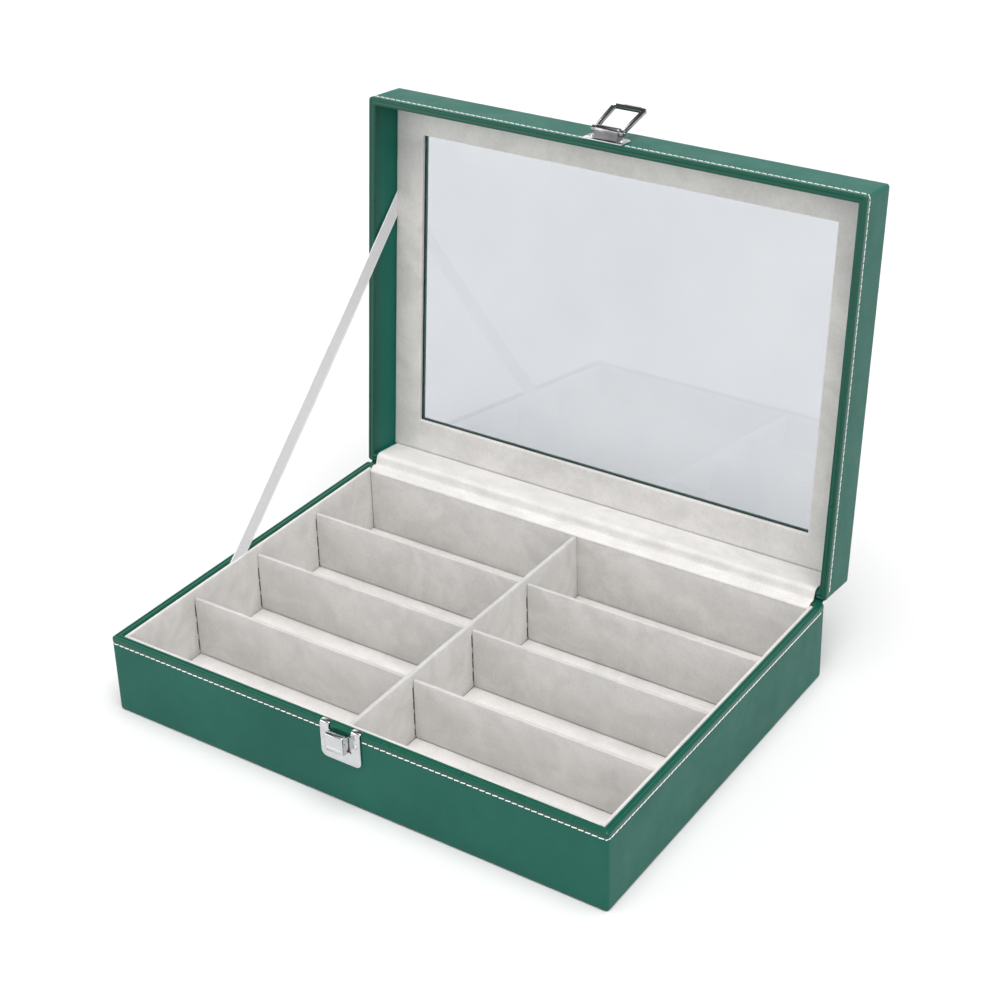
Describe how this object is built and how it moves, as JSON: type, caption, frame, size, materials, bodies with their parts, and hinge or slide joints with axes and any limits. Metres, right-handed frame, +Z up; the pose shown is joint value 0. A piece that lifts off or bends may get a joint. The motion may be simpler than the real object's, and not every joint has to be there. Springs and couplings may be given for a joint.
{
  "type": "glasses organizer",
  "caption": "Flat leather-covered case with velvet compartments for spectacles in two columns, a hinged lid with a window, a ribbon stay and a front snap latch.",
  "frame": {"origin": "centre of the base's underside", "axes": "+X along the long side to the right, -Y towards the latch side, +Z up"},
  "size_m": [0.335, 0.3155, 0.309],
  "materials": {
    "leather": "smooth green artificial leather with a faint pebble grain and white stitching",
    "velvet": "short-pile pale warm grey velvet",
    "board": "raw pressed fibreboard, covered on all sides",
    "glass": "clear and polished",
    "latch_metal": "bright nickel plate on stamped steel",
    "ribbon": "silver-white satin ribbon"
  },
  "bodies": {
    "base": {"base_leather": "leather", "base_front_board": "board", "base_back_board": "board", "base_left_board": "board", "base_right_board": "board", "base_floor_board": "board", "base_underside_cover": "leather", "left_liner": "velvet", "right_liner": "velvet", "front_liner": "velvet", "back_liner": "velvet", "left_floor_pad": "velvet", "right_floor_pad": "velvet", "centre_divider": "velvet", "left_divider_1": "velvet", "left_divider_2": "velvet", "left_divider_3": "velvet", "right_divider_1": "velvet", "right_divider_2": "velvet", "right_divider_3": "velvet", "latch_keeper": "latch_metal", "base_latch_left_rivet": "latch_metal", "base_latch_right_rivet": "latch_metal", "hinge_cloth": "velvet", "hinge_strip": "leather", "ribbon_stay": "ribbon"},
    "lid": {"lid_leather": "leather", "lid_front_board": "board", "lid_back_board": "board", "lid_left_board": "board", "lid_right_board": "board", "lid_frame_board": "board", "window_glass": "glass", "lid_mat": "velvet", "latch_bracket": "latch_metal", "lid_latch_left_rivet": "latch_metal", "lid_latch_right_rivet": "latch_metal", "latch_pin": "latch_metal"},
    "loop": {"latch_loop": "latch_metal"}
  },
  "joints": [
    {"name": "lid_hinge", "type": "hinge", "parent": "base", "child": "lid", "pos_m": [0, 0.1235, 0.0511], "axis": [1, 0, 0], "range_deg": [0, 95.2], "deforming": ["hinge_cloth", "hinge_strip", "ribbon_stay"]},
    {"name": "latch_turn", "type": "hinge", "parent": "lid", "child": "loop", "pos_m": [0, 0.15574, 0.30161], "axis": [1, 0, 0], "range_deg": [0, 160]}
  ]
}
